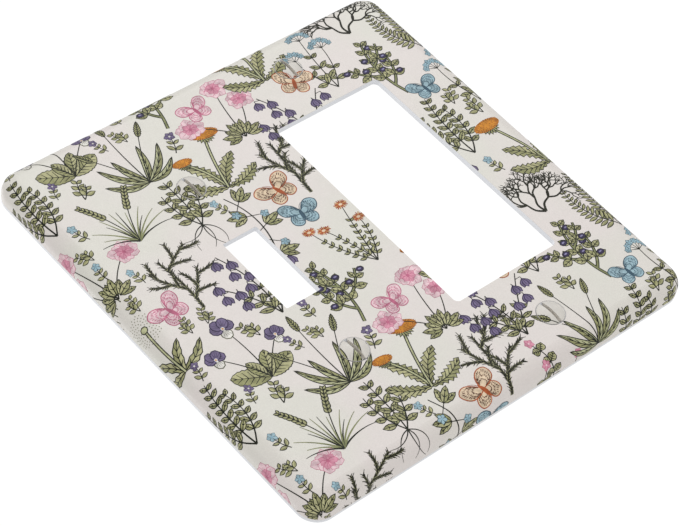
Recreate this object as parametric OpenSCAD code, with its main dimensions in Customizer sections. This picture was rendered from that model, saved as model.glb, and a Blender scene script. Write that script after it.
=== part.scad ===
// Two-gang wall plate: one opening for a toggle switch, one for a rocker switch.
// Frame: X to the right, Z up the wall, Y into the wall. Origin on the wall, at the plate's centre.
// Every sub-part is first drawn lying down, with its front face up, and stands up at the end.

/* [Plate] */
// Width of the plate
plate_w = 120; // [110:1:140]
// Height of the plate
plate_h = 119.6; // [112:0.2:140]
// Height of the front face above the wall
plate_t = 7; // [6.4:0.1:9]
// Radius of the plate's corners, seen from the front
corner_r = 5.6; // [5:0.1:10]
// Radius of the roll from the front face to the side
roll_r = 4.5; // [4:0.1:5]
// Thickness of the moulded wall
wall_t = 1.6; // [1.4:0.1:2]

/* [Printed film] */
// Thickness of the film
film_t = 0.1; // [0.05:0.01:0.2]
// Width of the bare lip between the film and the wall
lip_h = 1; // [0.5:0.1:2]

/* [Openings] */
// Distance between the centres of the two gangs
gang_pitch = 46; // [46:0.5:48]
// Width of the toggle opening
toggle_w = 10.3; // [9:0.1:12]
// Height of the toggle opening
toggle_h = 23.8; // [22:0.1:26]
// Corner radius of the toggle opening
toggle_r = 0.4; // [0.2:0.1:1]
// Width of the rocker opening
rocker_w = 33.3; // [32:0.1:34]
// Height of the rocker opening
rocker_h = 66.8; // [64:0.1:68]
// Corner radius of the rocker opening
rocker_r = 1.4; // [0.5:0.1:3]

/* [Screws] */
// Distance between the two screws of the toggle gang
toggle_screw_pitch = 60.3; // [58:0.1:62]
// Distance between the two screws of the rocker gang
rocker_screw_pitch = 96.8; // [94:0.1:98]
// Length of a screw below its head's edge
screw_len = 12.7; // [11:0.1:14]
// Outer radius of the screw thread
thread_r = 1.75; // [1.7:0.01:1.8]
// Radius of the plain neck between the head and the thread
neck_r = 1.5; // [1.3:0.05:1.6]
// Radius of the head's edge
head_r = 3.5; // [3.2:0.1:3.8]
// Full angle of the cone under the head
head_angle = 82; // [80:1:90]
// Height of the domed top of the head
dome_h = 0.7; // [0.4:0.1:1]
// Width of the driver slot
slot_w = 0.9; // [0.6:0.1:1.2]
// Depth of the driver slot below the head's edge
slot_depth = 0.6; // [0.3:0.1:0.8]

/* [Back of the plate] */
// Outer radius of the boss round a screw hole
boss_r = 4.6; // [4.4:0.1:5]
// Depth of a boss behind the moulded wall
boss_depth = 3.1; // [2:0.1:3.4]
// Thickness of a rib
rib_t = 1.2; // [0.8:0.1:1.6]
// Depth of a rib behind the moulded wall
rib_depth = 1.2; // [0.6:0.1:1.2]
// Distance from an opening's edge to the collar behind it
collar_gap = 1.2; // [1:0.1:1.5]
// Distance from the plate's middle to the ribs above and below it
cross_rib_z = 41; // [40:0.5:42]

/* [Hidden] */
$fn = 64;

// Places of the gangs and the screws, seen from the front
toggle_x = -gang_pitch / 2;
rocker_x = gang_pitch / 2;
toggle_screw_z = toggle_screw_pitch / 2;
rocker_screw_z = rocker_screw_pitch / 2;
screw_places = [
    [toggle_x, toggle_screw_z],
    [toggle_x, -toggle_screw_z],
    [rocker_x, rocker_screw_z],
    [rocker_x, -rocker_screw_z]
];

// Heights above the wall
moulding_t = plate_t - film_t;
cavity_t = moulding_t - wall_t;
through = plate_t + 2;

// Screw seat and head
seat_gap = 0.25;
shank_gap = 0.35;
seat_r = head_r + seat_gap;
hole_r = thread_r + shank_gap;
cone_slope = tan(head_angle / 2);
seat_depth = (seat_r - hole_r) / cone_slope;
head_edge_h = 0.1;
cone_depth = (head_r - neck_r) / cone_slope;
thread_start = 0.6;
tip_chamfer = 0.4;
dome_r = (head_r * head_r + dome_h * dome_h) / (2 * dome_h);

// Middle of the strip between the two openings
mid_rib_x = ((toggle_x + toggle_w / 2) + (rocker_x - rocker_w / 2)) / 2;

// Colours
moulding_colour = [0.93, 0.93, 0.95];
film_colour = [0.88, 0.86, 0.83];
screw_colour = [0.85, 0.84, 0.81];

module rounded_rectangle(w, h, r) {
    square([w - 2 * r, h], center = true);
    square([w, h - 2 * r], center = true);
    for (sx = [-1, 1], sy = [-1, 1])
        translate([sx * (w / 2 - r), sy * (h / 2 - r)])
            circle(r);
}

// Half of the section through a rolled edge, from the axis out to reach
module roll_section(reach, roll) {
    square([reach - roll, roll]);
    translate([reach - roll, 0])
        intersection() {
            circle(roll);
            square(roll);
        }
}

// The same section on both sides of the middle, pulled along a straight side
module rolled_bar(width, length, roll) {
    rotate([90, 0, 0])
        linear_extrude(length, center = true) {
            roll_section(width / 2, roll);
            mirror([1, 0])
                roll_section(width / 2, roll);
        }
}

// Slab with upright sides, round corners and a roll up to its flat top
module rolled_slab(w, h, t, corner, roll) {
    linear_extrude(t - roll)
        rounded_rectangle(w, h, corner);
    translate([0, 0, t - roll]) {
        rolled_bar(w, h - 2 * corner, roll);
        rotate([0, 0, 90])
            rolled_bar(h, w - 2 * corner, roll);
        for (sx = [-1, 1], sy = [-1, 1])
            translate([sx * (w / 2 - corner), sy * (h / 2 - corner), 0])
                rotate_extrude()
                    roll_section(corner, roll);
    }
}

// The plate's outer surface, set in from the film's outside by inset
module plate_skin(inset) {
    rolled_slab(
        plate_w - 2 * inset,
        plate_h - 2 * inset,
        plate_t - inset,
        corner_r - inset,
        roll_r - inset
    );
}

// What the openings and screw seats take out of the plate and its film
module front_cuts() {
    translate([toggle_x, 0, -1])
        linear_extrude(through)
            rounded_rectangle(toggle_w, toggle_h, toggle_r);
    translate([rocker_x, 0, -1])
        linear_extrude(through)
            rounded_rectangle(rocker_w, rocker_h, rocker_r);
    for (place = screw_places)
        translate([place[0], place[1], 0]) {
            translate([0, 0, -1])
                cylinder(r = hole_r, h = through);
            translate([0, 0, plate_t - seat_depth])
                cylinder(r1 = hole_r, r2 = seat_r, h = seat_depth);
            translate([0, 0, plate_t])
                cylinder(r = seat_r, h = 1);
        }
}

// Low wall behind the face, round one opening
module collar(x, w, h, r) {
    inner_w = w + 2 * collar_gap;
    inner_h = h + 2 * collar_gap;
    inner_r = r + collar_gap;
    translate([x, 0, cavity_t - rib_depth])
        linear_extrude(rib_depth)
            difference() {
                rounded_rectangle(inner_w + 2 * rib_t, inner_h + 2 * rib_t, inner_r + rib_t);
                rounded_rectangle(inner_w, inner_h, inner_r);
            }
}

module ribs() {
    collar(toggle_x, toggle_w, toggle_h, toggle_r);
    collar(rocker_x, rocker_w, rocker_h, rocker_r);
    translate([0, 0, cavity_t - rib_depth / 2]) {
        translate([mid_rib_x, 0, 0])
            cube([rib_t, plate_h - 2 * roll_r, rib_depth], center = true);
        for (side = [-1, 1])
            translate([0, side * cross_rib_z, 0])
                cube([plate_w - 2 * roll_r, rib_t, rib_depth], center = true);
    }
}

module bosses() {
    for (place = screw_places)
        translate([place[0], place[1], cavity_t - boss_depth])
            cylinder(r = boss_r, h = boss_depth);
}

// Moulded shell, open towards the wall
module moulding() {
    hollow = film_t + wall_t;
    difference() {
        union() {
            difference() {
                plate_skin(film_t);
                translate([0, 0, -1])
                    rolled_slab(
                        plate_w - 2 * hollow,
                        plate_h - 2 * hollow,
                        cavity_t + 1,
                        corner_r - hollow,
                        roll_r - hollow
                    );
            }
            ribs();
            bosses();
        }
        front_cuts();
    }
}

// Film over the front face and the roll, down to the bare lip
module film() {
    difference() {
        plate_skin(0);
        plate_skin(film_t);
        translate([0, 0, -1])
            linear_extrude(lip_h + 1)
                square([plate_w + 2, plate_h + 2], center = true);
        front_cuts();
    }
}

// Section of the oval head: cone, thin edge and domed top
module head_section() {
    polygon([
        [0, -cone_depth - head_edge_h],
        [neck_r, -cone_depth - head_edge_h],
        [head_r, -head_edge_h],
        [head_r, 0],
        [0, 0]
    ]);
    intersection() {
        translate([0, dome_h - dome_r])
            circle(dome_r, $fn = 128);
        square([head_r, dome_h]);
    }
}

// Oval-head machine screw with its head's edge level with the front face
module screw(place) {
    tip = plate_t - screw_len;
    neck_top = plate_t - cone_depth - head_edge_h;
    translate([place[0], place[1], 0]) {
        difference() {
            translate([0, 0, plate_t])
                rotate_extrude()
                    head_section();
            translate([0, 0, plate_t + (dome_h - slot_depth) / 2 + 0.5])
                cube([slot_w, 2 * head_r + 1, dome_h + slot_depth + 1], center = true);
        }
        translate([0, 0, thread_start])
            cylinder(r = neck_r, h = neck_top - thread_start);
        translate([0, 0, tip + tip_chamfer])
            cylinder(r = thread_r, h = thread_start - tip - tip_chamfer);
        translate([0, 0, tip])
            cylinder(r1 = thread_r - tip_chamfer, r2 = thread_r, h = tip_chamfer);
    }
}

// Turns a sub-part drawn face up so that it stands against the wall, facing -Y
module stand_up() {
    rotate([90, 0, 0])
        children();
}

module wall_plate() {
    color(moulding_colour)
        stand_up()
            moulding();
}

module printed_film() {
    color(film_colour)
        stand_up()
            film();
}

module toggle_screw_top() {
    color(screw_colour)
        stand_up()
            screw(screw_places[0]);
}

module toggle_screw_bottom() {
    color(screw_colour)
        stand_up()
            screw(screw_places[1]);
}

module rocker_screw_top() {
    color(screw_colour)
        stand_up()
            screw(screw_places[2]);
}

module rocker_screw_bottom() {
    color(screw_colour)
        stand_up()
            screw(screw_places[3]);
}

wall_plate();
printed_film();
toggle_screw_top();
toggle_screw_bottom();
rocker_screw_top();
rocker_screw_bottom();
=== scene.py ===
import cmath
import math
import random

import bmesh
import bpy
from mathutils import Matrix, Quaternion, Vector
from mathutils.geometry import delaunay_2d_cdt


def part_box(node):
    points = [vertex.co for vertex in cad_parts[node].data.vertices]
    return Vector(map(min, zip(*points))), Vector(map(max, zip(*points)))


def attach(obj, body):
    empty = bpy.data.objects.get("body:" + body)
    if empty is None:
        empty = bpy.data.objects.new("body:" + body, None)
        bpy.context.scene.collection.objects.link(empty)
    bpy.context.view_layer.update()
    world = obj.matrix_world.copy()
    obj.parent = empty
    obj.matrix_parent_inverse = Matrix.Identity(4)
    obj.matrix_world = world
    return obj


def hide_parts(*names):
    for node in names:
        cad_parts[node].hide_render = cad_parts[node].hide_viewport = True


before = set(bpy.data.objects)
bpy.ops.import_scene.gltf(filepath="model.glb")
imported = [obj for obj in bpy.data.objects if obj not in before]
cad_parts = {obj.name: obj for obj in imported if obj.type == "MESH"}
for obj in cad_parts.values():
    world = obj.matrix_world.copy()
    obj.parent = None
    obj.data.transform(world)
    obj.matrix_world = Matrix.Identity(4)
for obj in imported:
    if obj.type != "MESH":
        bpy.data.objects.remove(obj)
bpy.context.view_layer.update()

# Sizes in millimetres. Places on the plate are seen from the front, with the origin at its centre.
MM = 0.001
film_low, film_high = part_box("printed_film")
HALF_W = film_high.x / MM
HALF_H = film_high.z / MM
FACE = -film_low.y / MM
ROLL_R = 4.5
CORNER_R = 5.6
TOGGLE_OPENING = (-23, 0, 10.3, 23.8, 0.4)
ROCKER_OPENING = (23, 0, 33.3, 66.8, 1.4)
HEAD_R = 3.5
HEAD_EDGE = 0.1
SEAT_R = 3.75
DOME_H = 0.7
SLOT_W = 0.9
SLOT_DEPTH = 0.6
NECK_R = 1.5
THREAD_R = 1.75
ROOT_R = 1.4
THREAD_PITCH = 0.794
THREAD_TOP = 0.6
CONE_DEPTH = 2.3
SCREW_TIP = -5.7
SCREWS = ("toggle_screw_top", "toggle_screw_bottom", "rocker_screw_top", "rocker_screw_bottom")

# The print
ROW = 24.6
REPEAT = 3 * ROW
SHIFTS = {"top": 1j * REPEAT, "upper": 0j, "lower": -1j * REPEAT}
COLUMN = 14.6
# The ink stands a little proud, and neighbouring plants have lifts of their own
INK_LIFT = 0.02
LIFT_STEP = 0.0015
LIFTS = 6
RIM = 0.25
PRINT_LIMIT = 8.3
ROLL_STEPS = 12

# Camera and floor, in metres
CAMERA_AIM = (-0.0021, 0.0028, -0.0026)
CAMERA_DISTANCE = 0.606
CAMERA_AZIMUTH = -34.08
CAMERA_ELEVATION = -25.49
CAMERA_ROLL = -45.88
CAMERA_LENS = 133.0
FLOOR_Z = -0.40


# ---- Materials ----

def srgb(red, green, blue):
    """The linear colour that shows as this 8-bit one."""
    def linear(value):
        share = value / 255
        return share / 12.92 if share <= 0.04045 else ((share + 0.055) / 1.055) ** 2.4
    return (linear(red), linear(green), linear(blue), 1.0)


def scaled(colour, factor):
    return (*(channel * factor for channel in colour[:3]), 1.0)


class Surface:
    """A Principled material with its nodes placed in the object's own coordinates."""

    def __init__(self, name, **sockets):
        self.material = bpy.data.materials.new(name)
        self.material.use_nodes = True
        self.tree = self.material.node_tree
        self.shader = self.tree.nodes["Principled BSDF"]
        self.place = self.tree.nodes.new("ShaderNodeTexCoord").outputs["Object"]
        for socket, value in sockets.items():
            self.shader.inputs[socket.replace("_", " ")].default_value = value

    def noise(self, scale, detail=3.0, roughness=0.5):
        node = self.tree.nodes.new("ShaderNodeTexNoise")
        node.inputs["Scale"].default_value = scale
        node.inputs["Detail"].default_value = detail
        node.inputs["Roughness"].default_value = roughness
        self.tree.links.new(self.place, node.inputs["Vector"])
        return node.outputs["Fac"]

    def spread(self, value, low, high, start=0.3, stop=0.7):
        """Maps value between start and stop to a number between low and high."""
        node = self.tree.nodes.new("ShaderNodeMapRange")
        node.inputs["From Min"].default_value = start
        node.inputs["From Max"].default_value = stop
        node.inputs["To Min"].default_value = low
        node.inputs["To Max"].default_value = high
        self.tree.links.new(value, node.inputs["Value"])
        return node.outputs["Result"]

    def mix(self, factor, first, second):
        node = self.tree.nodes.new("ShaderNodeMix")
        node.data_type = "RGBA"
        self.tree.links.new(factor, node.inputs[0])
        for socket, colour in ((node.inputs[6], first), (node.inputs[7], second)):
            if isinstance(colour, bpy.types.NodeSocket):
                self.tree.links.new(colour, socket)
            else:
                socket.default_value = colour
        return node.outputs[2]

    def colour(self, value):
        self.tree.links.new(value, self.shader.inputs["Base Color"])

    def roughness(self, value):
        self.tree.links.new(value, self.shader.inputs["Roughness"])

    def bump(self, height, distance, strength=1.0):
        node = self.tree.nodes.new("ShaderNodeBump")
        node.inputs["Distance"].default_value = distance
        node.inputs["Strength"].default_value = strength
        self.tree.links.new(height, node.inputs["Height"])
        self.tree.links.new(node.outputs["Normal"], self.shader.inputs["Normal"])


def film_surface():
    """Satin film: off-white with faint pink and green clouds and a fine grain."""
    film = Surface("film_paper", Coat_Weight=0.25, Coat_Roughness=0.25)
    clouds = film.spread(film.noise(38, 2.5), 0.0, 1.0, 0.4, 0.6)
    tint = film.mix(clouds, srgb(232, 224, 220), srgb(227, 225, 215))
    grain = film.spread(film.noise(2600, 2.0), 0.0, 0.28)
    film.colour(film.mix(grain, tint, srgb(212, 206, 201)))
    film.roughness(film.spread(film.noise(420), 0.36, 0.46))
    film.bump(film.noise(1500, 3.0), 0.00002, 0.5)
    return film.material


def moulding_surface():
    """Glossy white plastic, a little cold, with the flow of the mould in its gloss."""
    plastic = Surface("white_plastic", IOR=1.5)
    cloud = plastic.spread(plastic.noise(60), 0.0, 1.0)
    plastic.colour(plastic.mix(cloud, srgb(240, 241, 245), srgb(233, 235, 240)))
    plastic.roughness(plastic.spread(plastic.noise(250), 0.24, 0.34))
    plastic.bump(plastic.noise(700), 0.00002, 0.4)
    return plastic.material


def screw_paint():
    """Enamel on a screw's head, a little uneven."""
    paint = Surface("screw_enamel", Coat_Weight=0.15, Coat_Roughness=0.3)
    cloud = paint.spread(paint.noise(500), 0.0, 1.0)
    paint.colour(paint.mix(cloud, srgb(224, 219, 211), srgb(214, 210, 203)))
    paint.roughness(paint.spread(paint.noise(900), 0.32, 0.45))
    paint.bump(paint.noise(1800), 0.00003, 0.5)
    return paint.material


def screw_steel():
    """Zinc-plated steel, brushed by the thread rolls."""
    steel = Surface("zinc_steel", Metallic=1.0)
    stain = steel.spread(steel.noise(700, 4.0), 0.0, 1.0)
    steel.colour(steel.mix(stain, srgb(196, 197, 200), srgb(160, 163, 168)))
    steel.roughness(steel.spread(steel.noise(1400), 0.26, 0.46))
    steel.bump(steel.noise(3000), 0.00001, 0.6)
    return steel.material


INKS = {
    "line": (24, 27, 14),
    "soft_line": (88, 90, 68),
    "needle": (32, 32, 18),
    "pale_needle": (146, 146, 112),
    "sage": (178, 176, 134),
    "shade": (154, 154, 110),
    "pale_sage": (184, 186, 146),
    "stem": (136, 140, 98),
    "purple": (114, 102, 134),
    "deep_purple": (44, 34, 68),
    "berry": (54, 46, 78),
    "berry_light": (142, 138, 176),
    "orange": (204, 134, 40),
    "deep_orange": (150, 84, 26),
    "rust": (168, 84, 44),
    "brown": (84, 44, 28),
    "cream": (222, 200, 172),
    "white": (225, 222, 216),
    "tan": (198, 150, 96),
    "pink": (212, 146, 166),
    "deep_pink": (188, 104, 132),
    "pale_pink": (228, 198, 204),
    "puff": (158, 156, 140),
    "blue": (138, 176, 194),
    "deep_blue": (58, 84, 100),
    "pale_blue": (156, 184, 194),
}


def ink_surface(name, shade):
    """Print ink in the film: its colour pools and thins as watercolour does."""
    ink = Surface("ink_" + name, Specular_IOR_Level=0.22)
    colour = srgb(*shade)
    pool = ink.spread(ink.noise(620, 3.0, 0.6), 0.0, 1.0, 0.36, 0.64)
    ink.colour(ink.mix(pool, scaled(colour, 0.8), scaled(colour, 1.22)))
    ink.roughness(ink.spread(ink.noise(900), 0.4, 0.52))
    ink.bump(ink.noise(1500, 3.0), 0.00002, 0.5)
    return ink.material


# ---- Lines and outlines: complex numbers in millimetres, real to the right and imaginary up ----

def point(place):
    return place if isinstance(place, complex) else complex(*place)


def ray(length, degrees):
    return cmath.rect(length, math.radians(degrees))


def smooth(places, step=0.7, closed=False):
    """A smooth line through the places."""
    spots = list(places)
    if closed:
        spots = [spots[-1], *spots, spots[0], spots[1]]
    elif len(spots) == 2:
        return spots
    else:
        spots = [2 * spots[0] - spots[1], *spots, 2 * spots[-1] - spots[-2]]
    line = []
    for a, b, c, d in zip(spots, spots[1:], spots[2:], spots[3:]):
        count = max(1, round(abs(c - b) / step))
        for i in range(count):
            t = i / count
            cubic = (3 * b - a - 3 * c + d) * t**3 + (2 * a - 5 * b + 4 * c - d) * t**2
            line.append((cubic + (c - a) * t + 2 * b) / 2)
    return line if closed else [*line, spots[-2]]


def walk(line, pitch, start=0.0, stop=1.0):
    """Places every pitch along a line, between two shares of its length, with the way it runs there."""
    reach = sum(abs(b - a) for a, b in zip(line, line[1:]))
    following, done = start * reach, 0.0
    for a, b in zip(line, line[1:]):
        length = abs(b - a)
        while following <= done + length and following <= stop * reach + 1e-6:
            yield a + (b - a) * (following - done) / length, (b - a) / length
            following += pitch
        done += length


def ellipse(centre, wide, high, turn=0.0, count=None):
    """An ellipse of the given width and height, turned by some degrees."""
    count = count or max(8, round((wide + high) * 1.6))
    spin = ray(1, turn)
    return [
        point(centre) + spin * complex(wide / 2 * math.cos(a), high / 2 * math.sin(a))
        for a in (2 * math.pi * i / count for i in range(count))
    ]


def rounded_box(x, y, wide, high, radius, steps=6):
    """A rectangle round (x, y) with round corners."""
    outline = []
    for quarter, (sx, sy) in enumerate(((1, 1), (-1, 1), (-1, -1), (1, -1))):
        corner = complex(x + sx * (wide / 2 - radius), y + sy * (high / 2 - radius))
        for i in range(steps + 1):
            outline.append(corner + ray(radius, 90 * quarter + 90 * i / steps))
    return outline


def twice_area(outline):
    """Twice the outline's area; below zero where it runs clockwise."""
    return sum((a.conjugate() * b).imag for a, b in zip(outline, [*outline[1:], outline[0]]))


def turned_left(outline):
    """The outline in anticlockwise order."""
    return outline if twice_area(outline) > 0 else outline[::-1]


class Pen:
    """Draws one motif as coloured shapes round its own foot; a later shape covers an earlier one."""

    def __init__(self, name):
        self.name = name
        self.shapes = []
        self.chance = random.Random(name)

    def fill(self, outline, ink):
        self.shapes.append((turned_left([point(p) for p in outline]), ink))

    def strip(self, pairs, ink):
        """A band between two lines, given as pairs of places on its left and right."""
        for (a, b), (c, d) in zip(pairs, pairs[1:]):
            for corners in ((a, b, d), (a, d, c)):
                if abs(twice_area(corners)) > 1e-4:
                    self.fill(corners, ink)

    def stroke(self, places, width, ink="line", tip=0.6):
        """A line that narrows to tip times its width."""
        line = smooth(places)
        last = len(line) - 1
        sides = []
        for i, spot in enumerate(line):
            way = line[min(i + 1, last)] - line[max(i - 1, 0)]
            reach = way / max(abs(way), 1e-9) * 1j * width / 2 * (1 + (tip - 1) * i / last)
            sides.append((spot + reach, spot - reach))
        self.strip(sides, ink)

    def stems(self, paths, width, ink="stem", tip=0.5, rim=RIM):
        """Outlined stems whose joins run together."""
        for path in paths:
            self.stroke(path, width + 2 * rim, "line", (width * tip + 2 * rim) / (width + 2 * rim))
        for path in paths:
            self.stroke(path, width, ink, tip)

    def patch(self, outline, ink, rim=RIM, edge="line"):
        """A filled outline with an inked rim just outside it."""
        spots = turned_left([point(p) for p in outline])
        grown = []
        for before, spot, after in zip([spots[-1], *spots], spots, [*spots[1:], spots[0]]):
            way = after - before
            grown.append(spot - way / max(abs(way), 1e-9) * 1j * rim)
        self.fill(grown, edge)
        self.fill(spots, ink)

    def oval(self, centre, wide, high, ink, turn=0.0, rim=RIM, edge="line"):
        self.patch(ellipse(centre, wide, high, turn), ink, rim, edge)

    def dot(self, centre, size, ink="line"):
        self.fill(ellipse(centre, size, size, count=7), ink)

    def leaf(self, base, tip, width, ink="sage", belly=0.45, bend=0.0, teeth=0, depth=0.25,
             veins=0, rim=RIM, edge="line", half="shade", point_power=0.85):
        """A leaf from base to tip, with a darker half, a midrib and side veins."""
        base, tip = point(base), point(tip)
        axis = tip - base
        across = axis / abs(axis) * 1j
        unit = axis / abs(axis)
        steps = 2 * teeth or max(4, round(abs(axis) / 0.8))
        power = math.log(0.5) / math.log(belly)

        def midrib(t):
            return base + axis * t + across * bend * math.sin(math.pi * t)

        def reach(t):
            return width / 2 * math.sin(math.pi * t**power) ** point_power

        middles, reaches = [base], [0.0]
        for i in range(1, steps):
            toothed = 1 - depth * self.chance.uniform(0.5, 1.3) if teeth and i % 2 == 0 else 1
            lean = 0.4 * axis / steps if teeth and i % 2 and depth > 0.3 else 0
            middles.append(midrib(i / steps) - lean)
            reaches.append(reach(i / steps) * toothed)
        outer = [(m + across * (r + rim), m - across * (r + rim)) for m, r in zip(middles[1:], reaches[1:])]
        self.strip([(base - unit * rim,) * 2, *outer, (tip + unit * rim,) * 2], edge)
        inner = [(m + across * r, m - across * r) for m, r in zip(middles, reaches)]
        self.strip([*inner, (tip, tip)], ink)
        if half:
            self.strip([(m, m - across * r) for m, r in zip(middles, reaches)] + [(tip, tip)], half)
        spine = [midrib(i / 4) for i in range(4)] + [tip]
        if veins:
            self.stroke(spine, 0.3, edge, 0.4)
            for i in range(1, veins + 1):
                t = i / (veins + 1)
                ahead = min(t + 0.14, 0.97)
                for sign in (1, -1):
                    end = midrib(ahead) + across * sign * reach(ahead) * 0.75
                    self.stroke([midrib(t), end], 0.26, edge, 0.5)
        elif width > 1.2:
            self.stroke(spine[:-1], 0.18, edge, 0.4)

    def pair(self, spot, way, length, width, spread=55, ink="sage", **look):
        """Two leaves that leave a stem on both sides."""
        for sign in (1, -1):
            base = spot + way * 1j * sign * 0.15
            reach = way * ray(length * self.chance.uniform(0.85, 1.1), sign * spread)
            self.leaf(base, base + reach, width, ink, **look)

    def sprig(self, path, pitch, length, width, start=0.1, stop=1.0, spread=55, taper=0.7, **look):
        """Pairs of leaves along a stem, smaller towards its end."""
        line = smooth(path)
        spots = list(walk(line, pitch, start, stop))
        for i, (spot, way) in enumerate(spots):
            size = 1 - (1 - taper) * i / max(1, len(spots) - 1)
            self.pair(spot, way, length * size, width * size, spread, **look)

    def needles(self, path, pitch=0.5, length=1.5):
        """A twig with needles all along it."""
        line = smooth(path)
        self.stroke(path, 1.0, "pale_needle", 0.6)
        for spot, way in walk(line, pitch):
            for sign in (1, -1):
                reach = length * self.chance.uniform(0.5, 1.1)
                end = spot + way * ray(reach, sign * self.chance.uniform(18, 52))
                self.stroke([spot, end], 0.28, "needle", 0.4)
        self.stroke(path, 0.34, "needle", 0.5)

    def palmate(self, base, tip, width, lobes=2, spread=46, **look):
        """A leaf with side lobes that fan out from its base."""
        base, tip = point(base), point(tip)
        for i in range(lobes, 0, -1):
            for sign in (1, -1):
                reach = (tip - base) * (1 - 0.14 * i) * ray(1, sign * spread * i)
                self.leaf(base, base + reach, width * (1 - 0.1 * i), **look)
        self.leaf(base, tip, width, **look)

    def blossom(self, centre, size, ink, edge="line", heart="cream", petals=5, turn=0.0, squash=1.0):
        """A small open flower."""
        centre = point(centre)
        for i in range(petals):
            way = ray(1, turn + 360 * i / petals)
            way = complex(way.real, way.imag * squash)
            tip = centre + way * size * self.chance.uniform(0.4, 0.56)
            self.leaf(centre, tip, size * 0.32, ink, 0.66, edge=edge, rim=0.14, half=None, point_power=0.6)
        self.dot(centre, size * 0.2, heart)


# ---- The plants: generic ones, each drawn by rule from its own foot upwards ----

def arc(foot, angle, length, bend=0.0, parts=5):
    """A stem that sets out at an angle and turns by bend degrees on its way."""
    spots = [foot]
    for i in range(parts):
        spots.append(spots[-1] + ray(length / parts, angle + bend * i / (parts - 1)))
    return spots


def heading(path):
    """The way a path runs at its end, in degrees."""
    return math.degrees(cmath.phase(path[-1] - path[-2]))


def needle_twig(pen):
    """Evergreen twig, forked twice."""
    def fork(foot, angle, length, level):
        path = arc(foot, angle, length, pen.chance.uniform(-28, 28))
        pen.needles(path)
        if level:
            for i, side in ((1, 1), (2, -1), (4, 1)):
                fork(path[i], angle + side * pen.chance.uniform(30, 52), length * 0.56, level - 1)
    fork(0j, 90, 18, 2)


def leafy_sprig(pen):
    """Thin stems with pairs of small leaves."""
    for angle, length, bend in ((128, 17, -46), (90, 21, 16), (58, 18, 40)):
        path = arc(0j, angle, length, bend)
        pen.stroke(path, 0.42, tip=0.5)
        pen.sprig(path, 2.4, 2.9, 1.3, 0.24, spread=50, veins=1)


def violet(pen, centre, size):
    """Four purple petals and a pale one below."""
    for turn in (-90, 12, 168, 58, 122):
        ink, edge = ("white", "soft_line") if turn == -90 else ("purple", "deep_purple")
        middle = centre + ray(size * 0.3, turn)
        pen.oval(middle, size * 0.56, size * 0.5, ink, turn, 0.26, edge)
        for fold in (-24, -8, 8, 24):
            way = ray(size, turn + fold)
            pen.stroke([centre + way * 0.16, centre + way * 0.46], 0.15, edge, 0.4)
    pen.dot(centre, size * 0.2, "white")
    pen.dot(centre, size * 0.1, "orange")


def violets(pen):
    """Violets over broad toothed leaves."""
    for angle, length, width in ((156, 9, 4.6), (112, 8, 3.6), (26, 10, 5.2), (64, 7, 3.2)):
        pen.leaf(0j, ray(length, angle), width, belly=0.55, teeth=8, depth=0.1, veins=6, point_power=0.6)
    for angle, length, bend, size in ((126, 13, 10, 4.6), (92, 18, -12, 5.6), (60, 14, -14, 4.8)):
        path = arc(0j, angle, length, bend)
        pen.stroke(path, 0.36)
        violet(pen, path[-1], size)


def flower_disc(pen, centre, wide, high, petals, tilt=0.0):
    """A full orange flower seen at a slant: a fringed ellipse with rings of florets."""
    spin = ray(1, tilt)

    def on_ring(angle, share):
        way = ray(share, angle)
        return centre + spin * complex(way.real * wide / 2, way.imag * high / 2)

    pen.oval(centre, wide * 0.95, high * 0.92, "orange", tilt, 0.16, "deep_orange")
    for i in range(petals):
        angle = 360 * (i + pen.chance.uniform(-0.2, 0.2)) / petals
        outer = on_ring(angle, pen.chance.uniform(0.98, 1.06))
        pen.stroke([on_ring(angle, 0.74), outer], 0.26, "deep_orange", 0.7)
        between = angle + 180 / petals
        pen.stroke([on_ring(between, 0.8), on_ring(between, 0.99)], 0.22, "orange", 0.8)
    for share, count in ((0.6, petals // 2), (0.42, petals // 3), (0.22, petals // 5)):
        for i in range(count):
            angle = 360 * (i + pen.chance.uniform(-0.3, 0.3)) / count
            pen.stroke([on_ring(angle, share), on_ring(angle, share + 0.13)], 0.2, "deep_orange", 0.5)


def orange_flowers(pen):
    """Full orange flowers over jagged leaves."""
    for angle, length, bend in ((158, 11, 1.2), (122, 12, -1), (56, 12, 1), (22, 11, -1.2)):
        pen.leaf(0j, ray(length, angle), 3.6, belly=0.6, bend=bend, teeth=8, depth=0.5, veins=7,
                 point_power=0.6)
    for angle, length, bend, wide in ((106, 13, 26, 5.6), (84, 18, -10, 8.2)):
        path = arc(0j, angle, length, bend)
        pen.stems([path], 0.42, "pale_sage", 0.9)
        for turn in range(190, 360, 20):
            pen.leaf(path[-1], path[-1] + ray(wide * 0.34, turn), 0.7, "shade")
        flower_disc(pen, path[-1] + 0.4j, wide, wide * 0.44, round(wide * 4), pen.chance.uniform(-8, 8))


def seed_clock(pen):
    """A round seed head over lance leaves, with a few seeds on the wind."""
    for angle, length, bend in ((150, 10, 1), (118, 9, -0.8), (50, 11, 0.9), (20, 9, -0.9)):
        pen.leaf(0j, ray(length, angle), 2.2, bend=bend, teeth=4, depth=0.3, veins=4)
    path = arc(0j, 86, 15, 10)
    pen.stems([path], 0.42, "pale_sage", 0.9)
    for i in range(96):
        pen.dot(path[-1] + ray(4.3 * math.sqrt((i + 10) / 106), 137.5 * i), 0.3, "puff")
    pen.oval(path[-1], 1.7, 1.5, "pale_sage")
    for i in range(8):
        foot = path[-1] + ray(5.4 + 0.6 * i, 20 + 11 * i)
        pen.stroke([foot, foot + ray(1.6, 40 + 6 * i)], 0.3, "soft_line", 0.7)


def berry(pen, spot):
    pen.oval(spot, 2.1, 1.6, "berry", 0, 0.17)
    pen.oval(spot + 0.1j, 1.0, 0.5, "berry_light", 5, 0, "berry")


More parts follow.
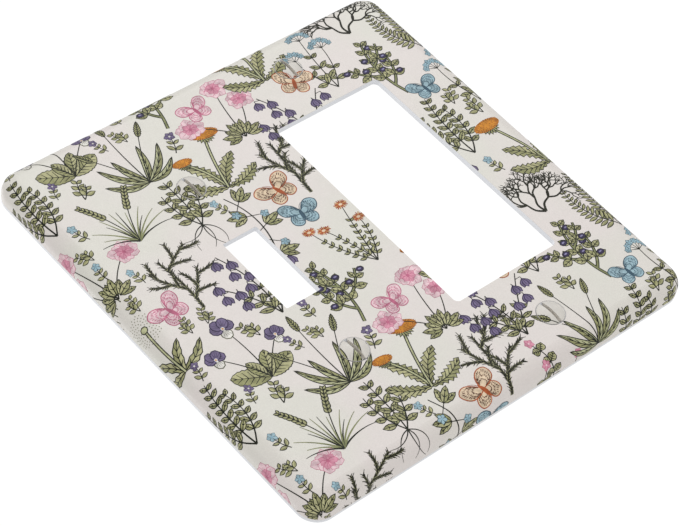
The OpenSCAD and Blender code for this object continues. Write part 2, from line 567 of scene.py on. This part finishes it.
def berry_branch(pen):
    """Woody branch with oval leaves and dark berries."""
    main = arc(0j, 104, 21, -36)
    sides = [arc(main[1], 44, 11, 34), arc(main[2], 150, 10, -34), arc(main[3], 30, 9, 34)]
    pen.stems([main, *sides], 0.5)
    for path in (main, *sides):
        pen.sprig(path, 3.3, 3.3, 2.0, 0.36, spread=50, veins=2)
        for i, (spot, way) in enumerate(walk(smooth(path), 4.6, 0.5)):
            berry(pen, spot + way * (1.5j if i % 2 else -1.5j))


def umbels(pen):
    """Flat heads of tiny blue flowers on fine stalks."""
    for angle, length, bend in ((118, 15, -24), (86, 19, 8), (52, 14, 30)):
        path = arc(0j, angle, length, bend)
        pen.stroke(path, 0.34)
        pen.sprig(path, 4.2, 3.4, 1.4, 0.2, 0.7, veins=1)
        for turn in (-66, -40, -14, 14, 40, 66):
            tip = path[-1] + ray(3.0, heading(path) + turn)
            pen.stroke([path[-1], tip], 0.18, tip=0.8)
            pen.blossom(tip, 2.0, "pale_blue", "deep_blue", "blue", 5, pen.chance.uniform(0, 72))


def bell(pen, top):
    """A hanging purple bell."""
    pen.stroke([top, top - 0.9j], 0.22)
    for turn in (-114, -66, -90):
        pen.leaf(top - 0.7j, top - 0.7j + ray(2.7, turn), 1.3, "purple", 0.62, edge="deep_purple", half=None)


def bell_stalks(pen):
    """Arching stalks with leaves below and bells above."""
    for angle, length, bend in ((116, 19, 10), (88, 22, -26), (62, 17, -24)):
        path = arc(0j, angle, length, bend)
        pen.stroke(path, 0.4)
        pen.sprig(path, 2.9, 3.4, 1.3, 0.12, 0.5, veins=1)
        for i, (spot, way) in enumerate(walk(smooth(path), 2.5, 0.5)):
            side = spot + way * ray(1.6, 50 if i % 2 else -50)
            pen.stroke([spot, side], 0.2)
            bell(pen, side)


def fern(pen):
    """Fronds of narrow leaves."""
    for angle, length, bend in ((130, 17, -52), (92, 21, 10), (54, 18, 48)):
        path = arc(0j, angle, length, bend)
        pen.stroke(path, 0.36, tip=0.5)
        pen.sprig(path, 1.35, 3.2, 0.8, 0.14, spread=62, taper=0.3)


def pink_blooms(pen):
    """Full pink blooms over lobed leaves."""
    for angle, length, bend in ((132, 14, -20), (96, 19, 12), (56, 15, -24)):
        path = arc(0j, angle, length, bend)
        pen.stroke(path, 0.36)
        for size, petals, ink in ((8.4, 9, "pale_pink"), (5.0, 7, "pink")):
            pen.blossom(path[-1], size, ink, "deep_pink", "deep_pink", petals, pen.chance.uniform(0, 40), 0.8)
    for angle in (160, 112, 74, 24):
        pen.palmate(ray(1.2, angle), ray(6.4, angle), 1.9, 1, 30, teeth=3, depth=0.12, veins=2)


def round_leaves(pen):
    """Creeping stems with round leaves and pink buds."""
    for angle, length, bend in ((140, 15, -54), (84, 21, -16), (48, 15, 50)):
        path = arc(0j, angle, length, bend)
        pen.stroke(path, 0.38)
        pen.sprig(path, 3.4, 3.0, 2.8, 0.2, 0.86, spread=58, belly=0.52, veins=3, point_power=0.5)
        pen.blossom(path[-1], 2.6, "pink", "deep_pink", "pale_pink", 5)


def seed_spikes(pen):
    """Strap leaves and stalks with seed spikes."""
    straps = ((158, 11, 1.4), (132, 13, 1.2), (112, 11, 0.6), (70, 12, -0.7), (46, 13, -1.2), (22, 10, -1.4))
    for angle, length, bend in straps:
        pen.leaf(0j, ray(length, angle), 1.7, "pale_sage", bend=bend, veins=5)
    for angle, length, bend in ((118, 15, 6), (94, 18, -6), (68, 15, -8)):
        path = arc(0j, angle, length, bend)
        pen.stroke(path, 0.34)
        pen.leaf(path[-1], path[-1] + ray(5, heading(path)), 1.6, "shade", 0.4, teeth=7, depth=0.24, veins=6)


def grass_tuft(pen):
    """Tuft of blades, with two heads of seed."""
    for i in range(13):
        angle = 30 + 10 * i + pen.chance.uniform(-4, 4)
        blade = arc(0j, angle, pen.chance.uniform(7, 13), (angle - 90) * 0.5)
        pen.stroke(blade, 0.5, "stem" if i % 3 else "line", 0.25)
    for angle in (106, 78):
        path = arc(0j, angle, 17, (angle - 90) * 1.2)
        pen.stroke(path, 0.3)
        pen.sprig(path, 1.1, 1.4, 0.6, 0.6, spread=26)


def daisies(pen):
    """Small tan daisies on wiry stems."""
    for angle, length, bend in ((126, 15, -26), (102, 20, 4), (78, 16, -10), (52, 19, 24)):
        path = arc(0j, angle, length, bend)
        pen.stroke(path, 0.34)
        pen.sprig(path, 2.2, 1.7, 0.6, 0.15, 0.8, spread=40)
        for i in range(18):
            way = ray(pen.chance.uniform(1.6, 2.2), 20 * i)
            end = path[-1] + complex(way.real, way.imag * 0.7)
            pen.stroke([path[-1], end], 0.42, "rust" if i % 3 else "tan", 0.7)
        pen.oval(path[-1], 1.2, 0.8, "cream", 0, 0.14, "rust")


def bare_tree(pen):
    """Dark, finely forked shrub."""
    def fork(foot, angle, length, level):
        end = foot + ray(length, angle)
        bow = (foot + end) / 2 + ray(length * 0.16, angle + 90 * pen.chance.choice((1, -1)))
        pen.stroke([foot, bow, end], 0.2 + 0.12 * level, "needle", 0.7)
        if level:
            for turn in (-36, 0, 36):
                share = pen.chance.uniform(0.6, 0.82)
                fork(end, angle + turn + pen.chance.uniform(-12, 12), length * share, level - 1)
    for angle in (132, 90, 48):
        fork(0j, angle, 5, 4)


def rooted_sprig(pen):
    """Seedling with curling roots."""
    for angle, length, bend in ((200, 9, 70), (232, 8, -60), (262, 9, 50), (292, 8, -60), (330, 9, -80)):
        pen.stroke(arc(7j, angle, length, bend), 0.32, "line", 0.3)
    for angle, length, bend in ((122, 13, -30), (88, 16, 10), (56, 13, 30)):
        path = arc(7j, angle, length, bend)
        pen.stroke(path, 0.36)
        pen.sprig(path, 2.7, 3.2, 1.5, 0.2, spread=52, veins=1)


def ivy_trail(pen):
    """Trailing stem with lobed leaves and small blue flowers."""
    path = arc(-5 + 0j, 60, 24, 50)
    pen.stroke(path, 0.42)
    for i, (spot, way) in enumerate(walk(smooth(path), 4.4, 0.1)):
        side = way * ray(1, 66 if i % 2 else -66)
        pen.stroke([spot, spot + side * 1.6], 0.26)
        pen.palmate(spot + side * 1.4, spot + side * 6.4, 1.9, 1, 34, teeth=3, depth=0.14, veins=2)
        stalk = [spot, spot - side * 3.2]
        pen.stroke(stalk, 0.22)
        pen.blossom(stalk[-1], 2.6, "pale_blue", "deep_blue", "blue", 5, pen.chance.uniform(0, 72))


def wing(pen, tip, width, ink, edge, mark_ink):
    """A wing from the body to its tip, with rows of marks that run round the body."""
    across = tip / abs(tip) * 1j * width / 2
    shares = [i / 12 for i in range(1, 12)]
    upper = [tip * t + across * math.sin(math.pi * t**1.6) ** 0.6 for t in shares]
    lower = [tip * t - across * math.sin(math.pi * t**1.3) ** 0.6 for t in shares]
    outline = smooth([0j, *upper, tip, *lower[::-1]], 0.6, True)
    pen.patch(outline, ink, 0.26, edge)
    for share in (0.9, 0.7, 0.5):
        for p in outline:
            reach = p * share * pen.chance.uniform(0.93, 1.04)
            if abs(reach) > 1.4:
                pen.stroke([reach, reach * 0.86], 0.26 * pen.chance.uniform(0.6, 1.2), mark_ink, 0.6)


def butterfly(pen, ink, edge, mark_ink):
    """A butterfly with open wings."""
    for sign in (1, -1):
        for reach, turn, width in ((4.6, -44, 3.6), (6.2, 30, 3.8)):
            way = ray(reach, turn)
            wing(pen, complex(sign * way.real, way.imag), width, ink, edge, mark_ink)
        pen.stroke([1j, complex(sign * 0.6, 2.4), complex(sign * 1.6, 3.4)], 0.16, edge)
    pen.leaf(-2.4j, 1.4j, 0.7, edge, half=None, edge=edge)


def rust_butterfly(pen):
    butterfly(pen, "cream", "rust", "brown")


def pink_butterfly(pen):
    butterfly(pen, "pale_pink", "deep_pink", "deep_pink")


def blue_butterfly(pen):
    butterfly(pen, "pale_blue", "deep_blue", "deep_blue")


def seedling(pen):
    """Small sprig that fills a gap."""
    for angle, length, bend in ((112, 6, -20), (70, 5, 24)):
        path = arc(-3j, angle, length, bend)
        pen.stroke(path, 0.3)
        pen.sprig(path, 1.9, 2.3, 1.1, 0.3, spread=48)


def small_flower(pen, angle, bend, inks):
    """One open flower on a short bent stalk."""
    path = arc(-3j, angle, 6, bend)
    pen.stroke(path, 0.3)
    pen.sprig(path, 2.2, 2.4, 0.9, 0.2, 0.6)
    pen.blossom(path[-1], 3.2, *inks, 5, pen.chance.uniform(0, 72))


def bud(pen):
    small_flower(pen, 104, -24, ("purple", "deep_purple", "white"))


def blue_bud(pen):
    small_flower(pen, 78, 26, ("pale_blue", "deep_blue", "blue"))


# One repeat of the print: rows from the bottom up, each with its plants from left to right.
PLANTING = (
    (leafy_sprig, violets, seed_spikes, berry_branch, pink_blooms, orange_flowers, umbels, bare_tree, fern),
    (seed_clock, needle_twig, bell_stalks, ivy_trail, daisies, round_leaves, violets, leafy_sprig,
     orange_flowers),
    (pink_blooms, grass_tuft, rooted_sprig, orange_flowers, needle_twig, bell_stalks, seed_spikes,
     berry_branch, umbels),
)
# What goes where the plants leave most room, largest gaps first
FILLERS = (rust_butterfly, pink_butterfly, blue_butterfly) * 2 + (seedling, bud, seedling, blue_bud) * 5
# How many of them are butterflies, and the room that a butterfly and a sprig fill at full size
FLIGHT = 6
FLIGHT_REACH = 5.4
SPRIG_REACH = 4.2
LEAST_ROOM = 2.8
CELL = 2.0
GAP_PITCH = 3
# The least distance of a filler's middle from the plate's edge and from an opening
EDGE_MARGIN = 2
HOLE_MARGIN = 1


def covered(drawings):
    """The small square cells that one repeat's drawings cover, each as its middle."""
    cells = set()
    for pen, place, spin, flipped, _ in drawings:
        for outline, _ in pen.shapes:
            spot = laid([outline[0]], place, spin, flipped)[0]
            height = (spot.imag + REPEAT / 2) % REPEAT - REPEAT / 2
            cells.add((round(spot.real / CELL), round(height / CELL)))
    return [complex(x, y) * CELL for x, y in cells]


def laid(outline, place, spin, flipped):
    """An outline of a drawing where it lies on the flattened film."""
    return [place + spin * (-p.conjugate() if flipped else p) for p in outline]


def room(spot, cells):
    """How far a spot lies from everything that is drawn."""
    return min(abs(spot + shift - cell) for cell in cells for shift in SHIFTS.values())


def shown(spot):
    """True where the spot lies on film in one row of repeats at least."""
    for shift in SHIFTS.values():
        x, y = (spot + shift).real, (spot + shift).imag
        if abs(x) < HALF_W - EDGE_MARGIN and abs(y) < HALF_H - EDGE_MARGIN:
            if not any(abs(x - at_x) < wide / 2 + HOLE_MARGIN and abs(y - at_y) < high / 2 + HOLE_MARGIN
                       for at_x, at_y, wide, high, _ in (TOGGLE_OPENING, ROCKER_OPENING)):
                return True
    return False


def plantings():
    """The drawings of one repeat, with places, turns and lifts; every other column starts half a row up."""
    chance = random.Random("planting")
    drawings = []
    for row, plants in enumerate(PLANTING):
        for column, plant in enumerate(plants):
            pen = Pen(f"{plant.__name__}_{len(drawings)}")
            plant(pen)
            x = COLUMN * (column - (len(plants) - 1) / 2) + chance.uniform(-1, 1)
            y = ROW * (row - 1.5 + (column % 2) / 2) + chance.uniform(-1, 1)
            spin = ray(chance.uniform(0.92, 1.02), chance.uniform(-9, 9))
            drawings.append((pen, complex(x, y), spin, chance.random() < 0.5, (2 * row + column) % LIFTS))
    cells = covered(drawings)
    columns, rows = round(HALF_W / GAP_PITCH), int(REPEAT / 2 / GAP_PITCH)
    gaps = [
        complex(GAP_PITCH * x, GAP_PITCH * y)
        for x in range(-columns, columns + 1) for y in range(-rows, rows + 1)
    ]
    clear = {gap: room(gap, cells) for gap in gaps if shown(gap)}
    for number, filler in enumerate(FILLERS):
        spot = max(clear, key=clear.get)
        if clear[spot] < LEAST_ROOM:
            break
        pen = Pen(f"{filler.__name__}_{len(drawings)}")
        filler(pen)
        size = min(1.0, clear[spot] / (FLIGHT_REACH if number < FLIGHT else SPRIG_REACH))
        lift = LIFTS if number < FLIGHT else LIFTS + 1 + number % 2
        drawings.append((pen, spot, ray(size, chance.uniform(-30, 30)), chance.random() < 0.5, lift))
        cells = covered(drawings[-1:])
        clear = {gap: min(reach, room(gap, cells)) for gap, reach in clear.items()}
    return drawings


# ---- The print on the film and on the screw heads ----

CORE_W = HALF_W - CORNER_R
CORE_H = HALF_H - CORNER_R
FLAT_R = CORNER_R - ROLL_R
ROLL_REACH = ROLL_R * math.pi / 2


def on_film(spot, lift=0.0):
    """Where a place on the flattened film lies on the plate, and the way out of the surface there."""
    inner = complex(max(-CORE_W, min(CORE_W, spot.real)), max(-CORE_H, min(CORE_H, spot.imag)))
    away = spot - inner
    past = abs(away) - FLAT_R
    if past <= 0:
        return Vector((spot.real, -FACE - lift, spot.imag)), Vector((0, -1, 0))
    side = away / abs(away)
    turn = min(past / ROLL_R, math.pi / 2)
    drop = max(0.0, past - ROLL_REACH)
    reach = FLAT_R + (ROLL_R + lift) * math.sin(turn)
    height = FACE - ROLL_R + (ROLL_R + lift) * math.cos(turn) - drop
    flat = inner + side * reach
    normal = Vector((side.real * math.sin(turn), -math.cos(turn), side.imag * math.sin(turn)))
    return Vector((flat.real, -height, flat.imag)), normal


def on_dome(centre):
    """The same for the domed head of a screw."""
    radius = (HEAD_R**2 + DOME_H**2) / (2 * DOME_H)
    middle = Vector((centre.real, -(FACE + DOME_H - radius), centre.imag))

    def place(spot, lift):
        away = spot - centre
        height = math.sqrt(radius**2 - abs(away)**2)
        normal = Vector((away.real, -height, away.imag)) / radius
        return middle + normal * (radius + lift), normal
    return place


def in_slot(spot, lift):
    """The same for the floor of a driver slot."""
    return Vector((spot.real, SLOT_DEPTH - FACE - lift, spot.imag)), Vector((0, -1, 0))


def centre_of(name):
    low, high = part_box(name)
    return complex(low.x + high.x, low.z + high.z) / 2 / MM


CENTRES = {name: centre_of(name) for name in SCREWS}


def film_loop(past):
    """The line on the flattened film that lies past beyond the edge of its flat face."""
    radius = FLAT_R + past
    return rounded_box(0, 0, 2 * (CORE_W + radius), 2 * (CORE_H + radius), radius, 8)


def make_fences():
    """Outlines that part the sheet, each with a word for what is inside it."""
    fences = [("sheet", film_loop(PRINT_LIMIT))]
    for opening in (TOGGLE_OPENING, ROCKER_OPENING):
        x, y, wide, high, radius = opening
        fences.append(("open", rounded_box(x, y, wide, high, radius)))
    for name in SCREWS:
        centre = CENTRES[name]
        fences.append(("open", ellipse(centre, 2 * SEAT_R, 2 * SEAT_R, count=40)))
        fences.append((name, ellipse(centre, 2 * HEAD_R - 0.1, 2 * HEAD_R - 0.1, count=36)))
        fences.append(("open", rounded_box(centre.real, centre.imag, SLOT_W + 0.1, 2 * HEAD_R + 1, 0.01, 1)))
        for share in (0.25, 0.5, 0.75):
            fences.append(("guide", ellipse(centre, 2 * HEAD_R * share, 2 * HEAD_R * share, count=16)))
    return fences


def box_of(outline):
    return (min(p.real for p in outline), min(p.imag for p in outline),
            max(p.real for p in outline), max(p.imag for p in outline))


def meets(first, second):
    return first[0] < second[2] and second[0] < first[2] and first[1] < second[3] and second[1] < first[3]


def goes_round(outline, spot):
    """True when the outline goes round the spot."""
    inside = False
    for a, b in zip(outline, [*outline[1:], outline[0]]):
        if (a.imag > spot.imag) != (b.imag > spot.imag):
            if spot.real < a.real + (spot.imag - a.imag) * (b.real - a.real) / (b.imag - a.imag):
                inside = not inside
    return inside


def cut(shapes, fences, loops):
    """Parts overlapping shapes into triangles, each with its top ink and the names of the fences round it."""
    frame_box = box_of([p for outline, _ in shapes for p in outline])
    near = [(outline, name) for name, outline in fences if meets(box_of(outline), frame_box)]
    outlines = [outline for outline, _ in [*near, *shapes]]
    names = [name for _, name in near]
    inks = [None] * len(near) + [ink for _, ink in shapes]
    spots, edges, faces = [], [], []
    for outline in outlines:
        faces.append(list(range(len(spots), len(spots) + len(outline))))
        spots += outline
    grown_box = tuple(v + grow for v, grow in zip(frame_box, (-1, -1, 1, 1)))
    for loop in loops:
        for a, b in zip(loop, [*loop[1:], loop[0]]):
            if meets(box_of([a, b]), grown_box):
                edges.append((len(spots), len(spots) + 1))
                spots += [a, b]
    found = delaunay_2d_cdt([Vector((p.real, p.imag)) for p in spots], edges, faces, 1, 1e-4, True)
    places = [complex(*v) for v in found[0]]
    for corners, sources in zip(found[2], found[5]):
        triangle = [places[i] for i in corners]
        middle = sum(triangle) / 3
        for i in sorted(sources, reverse=True):
            if inks[i] and goes_round(outlines[i], middle):
                yield triangle, inks[i], {names[j] for j in sources if j < len(names)}
                break


class Sheet:
    """Gathers inked triangles and turns them into one thin printed piece."""

    def __init__(self, place, lift=INK_LIFT):
        self.place = place
        self.lift = lift
        self.numbers = {}
        self.corners = []
        self.faces = []
        self.inks = []

    def add(self, spots, ink):
        face = []
        for spot in spots:
            if spot not in self.numbers:
                self.numbers[spot] = len(self.corners)
                self.corners.append(self.place(spot, self.lift))
            face.append(self.numbers[spot])
        if len(set(face)) == 3:
            self.faces.append(face)
            self.inks.append(ink)

    def piece(self, name, body, slot):
        """The finished piece, riding on its body."""
        mesh = bpy.data.meshes.new(name)
        mesh.from_pydata([where * MM for where, _ in self.corners], [], self.faces)
        used = sorted(set(self.inks))
        for ink in used:
            mesh.materials.append(ink_materials[ink])
        for polygon, ink in zip(mesh.polygons, self.inks):
            polygon.material_index = used.index(ink)
        mesh.shade_smooth()
        mesh.normals_split_custom_set_from_vertices([normal for _, normal in self.corners])
        piece = bpy.data.objects.new(name, mesh)
        bpy.context.scene.collection.objects.link(piece)
        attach(piece, body)
        return piece


def print_pattern():
    """Every motif wherever its repeats show on the film, the screw heads and the slots."""
    fences = make_fences()
    loops = [film_loop(ROLL_REACH * i / ROLL_STEPS) for i in range(ROLL_STEPS + 1)]
    heads = {name: Sheet(on_dome(CENTRES[name])) for name in SCREWS}
    floors = {name: Sheet(in_slot) for name in SCREWS}
    limit = box_of(film_loop(PRINT_LIMIT))
    for pen, place, spin, flipped, lift in plantings():
        for row, shift in SHIFTS.items():
            shapes = []
            for outline, ink in pen.shapes:
                outline = turned_left(laid(outline, place + shift, spin, flipped))
                if meets(box_of(outline), limit):
                    shapes.append((outline, ink))
            if not shapes:
                continue
            sheet = Sheet(on_film, INK_LIFT + LIFT_STEP * lift)
            for spots, ink, inside in cut(shapes, fences, loops):
                head = next((name for name in SCREWS if name in inside), None)
                if head and slotted(spots, head):
                    floors[head].add(spots, ink)
                elif head:
                    heads[head].add(spots, ink)
                elif "open" not in inside and "sheet" in inside:
                    sheet.add(spots, ink)
            if sheet.faces:
                sheet.piece(f"print_{pen.name}_{row}", "plate", "film")
    for part, sheets in (("head", heads), ("slot", floors)):
        for name, sheet in sheets.items():
            if sheet.faces:
                sheet.piece(f"print_on_{name}_{part}", name, "screw")


def slotted(spots, head):
    """True for a triangle over the driver slot."""
    middle = sum(spots) / 3 - CENTRES[head]
    return abs(middle.real) < SLOT_W / 2 + 0.05


# ---- Screws ----

def screw_profile():
    """Radius and height above the wall from the dome's top down to the tip, without the thread's ridges."""
    dome_radius = (HEAD_R**2 + DOME_H**2) / (2 * DOME_H)
    profile = []
    for i in range(1, 13):
        radius = HEAD_R * 0.985 * i / 12
        profile.append((radius, FACE + DOME_H - dome_radius + math.sqrt(dome_radius**2 - radius**2)))
    cone_top = FACE - HEAD_EDGE
    profile += [(HEAD_R, FACE - 0.02), (HEAD_R, cone_top), (HEAD_R - 0.06, cone_top - 0.05)]
    neck_top = cone_top - CONE_DEPTH
    profile += [(NECK_R + 0.12, neck_top + 0.14), (NECK_R, neck_top - 0.1), (NECK_R, THREAD_TOP + 0.3)]
    return profile


def threaded(angle, height):
    """Radius of the rolled thread, which fades in below the neck and out at the tip."""
    phase = (height / THREAD_PITCH - angle / (2 * math.pi)) % 1.0
    ridge = max(0.0, min(1.0, 1.6 - abs(phase - 0.5) * 3.6))
    full = min(1.0, (THREAD_TOP + 0.3 - height) / 0.5)
    radius = NECK_R + (ROOT_R - NECK_R) * full + (THREAD_R - ROOT_R) * ridge * full
    chamfer = THREAD_R - 0.45 + (height - SCREW_TIP)
    return min(radius, max(chamfer, 0.9))


def screw_solid(segments=40):
    """The screw turned round its axis, closed at both ends, in its own place at the origin."""
    mesh = bmesh.new()
    rings = [[radius] * segments + [height] for radius, height in screw_profile()]
    rows = round((THREAD_TOP + 0.3 - SCREW_TIP) / THREAD_PITCH * 12)
    angles = [2 * math.pi * i / segments for i in range(segments)]
    for row in range(1, rows + 1):
        height = THREAD_TOP + 0.3 + (SCREW_TIP - THREAD_TOP - 0.3) * row / rows
        rings.append([threaded(angle, height) for angle in angles] + [height])
    loops = []
    for *radii, height in rings:
        loops.append([
            mesh.verts.new(Vector((radius * math.cos(angle), -height, radius * math.sin(angle))) * MM)
            for radius, angle in zip(radii, angles)
        ])
    for upper, lower in zip(loops, loops[1:]):
        for i in range(segments):
            j = (i + 1) % segments
            mesh.faces.new((upper[i], upper[j], lower[j], lower[i]))
    for loop, height in ((loops[0], rings[0][-1] + 0.003), (loops[-1], SCREW_TIP)):
        centre = mesh.verts.new(Vector((0, -height, 0)) * MM)
        for i in range(segments):
            mesh.faces.new((centre, loop[i], loop[(i + 1) % segments]))
    bmesh.ops.recalc_face_normals(mesh, faces=mesh.faces)
    return mesh


def slot_cutter():
    """A bar with a slightly round floor that cuts the driver slot."""
    mesh = bmesh.new()
    floor = FACE - SLOT_DEPTH
    section = [(-SLOT_W / 2, FACE + 2), (-SLOT_W / 2, floor + 0.08), (-SLOT_W / 2 + 0.08, floor),
               (SLOT_W / 2 - 0.08, floor), (SLOT_W / 2, floor + 0.08), (SLOT_W / 2, FACE + 2)]
    ends = [[mesh.verts.new(Vector((x, -height, z)) * MM) for x, height in section] for z in (-5, 5)]
    mesh.faces.new(ends[0])
    mesh.faces.new(ends[1][::-1])
    for i in range(len(section)):
        j = (i + 1) % len(section)
        mesh.faces.new((ends[0][j], ends[0][i], ends[1][i], ends[1][j]))
    bmesh.ops.recalc_face_normals(mesh, faces=mesh.faces)
    return mesh


def object_from(shape, name):
    mesh = bpy.data.meshes.new(name)
    shape.to_mesh(mesh)
    shape.free()
    thing = bpy.data.objects.new(name, mesh)
    bpy.context.scene.collection.objects.link(thing)
    return thing


def make_screws():
    """One slotted, threaded screw, placed four times in place of the plain ones."""
    blank = object_from(screw_solid(), "screw_blank")
    cutter = object_from(slot_cutter(), "slot_cutter")
    trim = blank.modifiers.new("slot", "BOOLEAN")
    trim.object = cutter
    trim.operation = "DIFFERENCE"
    trim.solver = "EXACT"
    depsgraph = bpy.context.evaluated_depsgraph_get()
    mesh = bpy.data.meshes.new_from_object(blank.evaluated_get(depsgraph))
    mesh.name = "threaded_screw"
    bpy.data.objects.remove(blank)
    bpy.data.objects.remove(cutter)
    mesh.materials.clear()
    mesh.materials.append(screw_paint())
    mesh.materials.append(screw_steel())
    for polygon in mesh.polygons:
        polygon.material_index = 0 if polygon.center.y < -(FACE - HEAD_EDGE - 0.5) * MM else 1
    mesh.shade_smooth()
    mesh.set_sharp_from_angle(angle=math.radians(35))
    for name in SCREWS:
        centre = CENTRES[name]
        piece = bpy.data.objects.new(name + "_detailed", mesh)
        piece.location = Vector((centre.real, 0, centre.imag)) * MM
        bpy.context.scene.collection.objects.link(piece)
        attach(piece, name)
        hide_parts(name)


# ---- Studio ----

def from_object(azimuth, elevation):
    """The way from the object towards a viewer; azimuth 0 is in front of the plate."""
    turn, rise = math.radians(azimuth), math.radians(elevation)
    return Vector((math.sin(turn) * math.cos(rise), -math.cos(turn) * math.cos(rise), math.sin(rise)))


def make_camera():
    data = bpy.data.cameras.new("photo_camera")
    data.lens = CAMERA_LENS
    data.sensor_width = 36.0
    data.clip_start, data.clip_end = 0.01, 20.0
    camera = bpy.data.objects.new("photo_camera", data)
    back = from_object(CAMERA_AZIMUTH, CAMERA_ELEVATION)
    level = (-back).to_track_quat("-Z", "Y")
    roll = Quaternion((0, 0, 1), math.radians(CAMERA_ROLL))
    camera.rotation_mode = "QUATERNION"
    camera.rotation_quaternion = level @ roll
    camera.location = Vector(CAMERA_AIM) + back * CAMERA_DISTANCE
    bpy.context.scene.collection.objects.link(camera)
    bpy.context.scene.camera = camera


def softbox(name, azimuth, elevation, distance, size, power):
    data = bpy.data.lights.new(name, "AREA")
    data.shape = "DISK"
    data.size = size
    data.energy = power
    lamp = bpy.data.objects.new(name, data)
    way = from_object(azimuth, elevation)
    lamp.location = way * distance
    lamp.rotation_mode = "QUATERNION"
    lamp.rotation_quaternion = way.to_track_quat("Z", "Y")
    bpy.context.scene.collection.objects.link(lamp)


def make_world():
    """Even white light all round, and a white backdrop for the camera."""
    world = bpy.data.worlds.new("studio")
    world.use_nodes = True
    tree = world.node_tree
    light = tree.nodes["Background"]
    light.inputs["Color"].default_value = (1.0, 1.0, 1.0, 1.0)
    light.inputs["Strength"].default_value = 0.69
    backdrop = tree.nodes.new("ShaderNodeBackground")
    backdrop.inputs["Color"].default_value = (1.0, 1.0, 1.0, 1.0)
    backdrop.inputs["Strength"].default_value = 1.05
    path = tree.nodes.new("ShaderNodeLightPath")
    chosen = tree.nodes.new("ShaderNodeMixShader")
    tree.links.new(path.outputs["Is Camera Ray"], chosen.inputs[0])
    tree.links.new(light.outputs[0], chosen.inputs[1])
    tree.links.new(backdrop.outputs[0], chosen.inputs[2])
    tree.links.new(chosen.outputs[0], tree.nodes["World Output"].inputs["Surface"])
    bpy.context.scene.world = world


def make_floor():
    floor_surface = Surface("pale_floor", Roughness=0.9)
    cloud = floor_surface.spread(floor_surface.noise(3), 0.0, 1.0)
    floor_surface.colour(floor_surface.mix(cloud, srgb(246, 246, 245), srgb(242, 242, 241)))
    shape = bmesh.new()
    bmesh.ops.create_grid(shape, x_segments=4, y_segments=4, size=6.0)
    bmesh.ops.translate(shape, verts=shape.verts, vec=(0, 0, FLOOR_Z))
    floor = object_from(shape, "floor")
    floor.data.materials.append(floor_surface.material)


def paint(node, material):
    """Gives a CAD node's slots one material."""
    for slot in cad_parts[node].material_slots:
        slot.material = material


make_camera()
make_world()
make_floor()
softbox("key_light", 30, 35, 1.2, 0.9, 3.4)
softbox("fill_light", -60, 10, 1.4, 1.0, 1.1)
softbox("back_light", 200, 40, 1.4, 1.0, 2.5)
bpy.context.scene.view_settings.view_transform = "Standard"

paint("wall_plate", moulding_surface())
paint("printed_film", film_surface())
ink_materials = {name: ink_surface(name, shade) for name, shade in INKS.items()}
make_screws()
print_pattern()
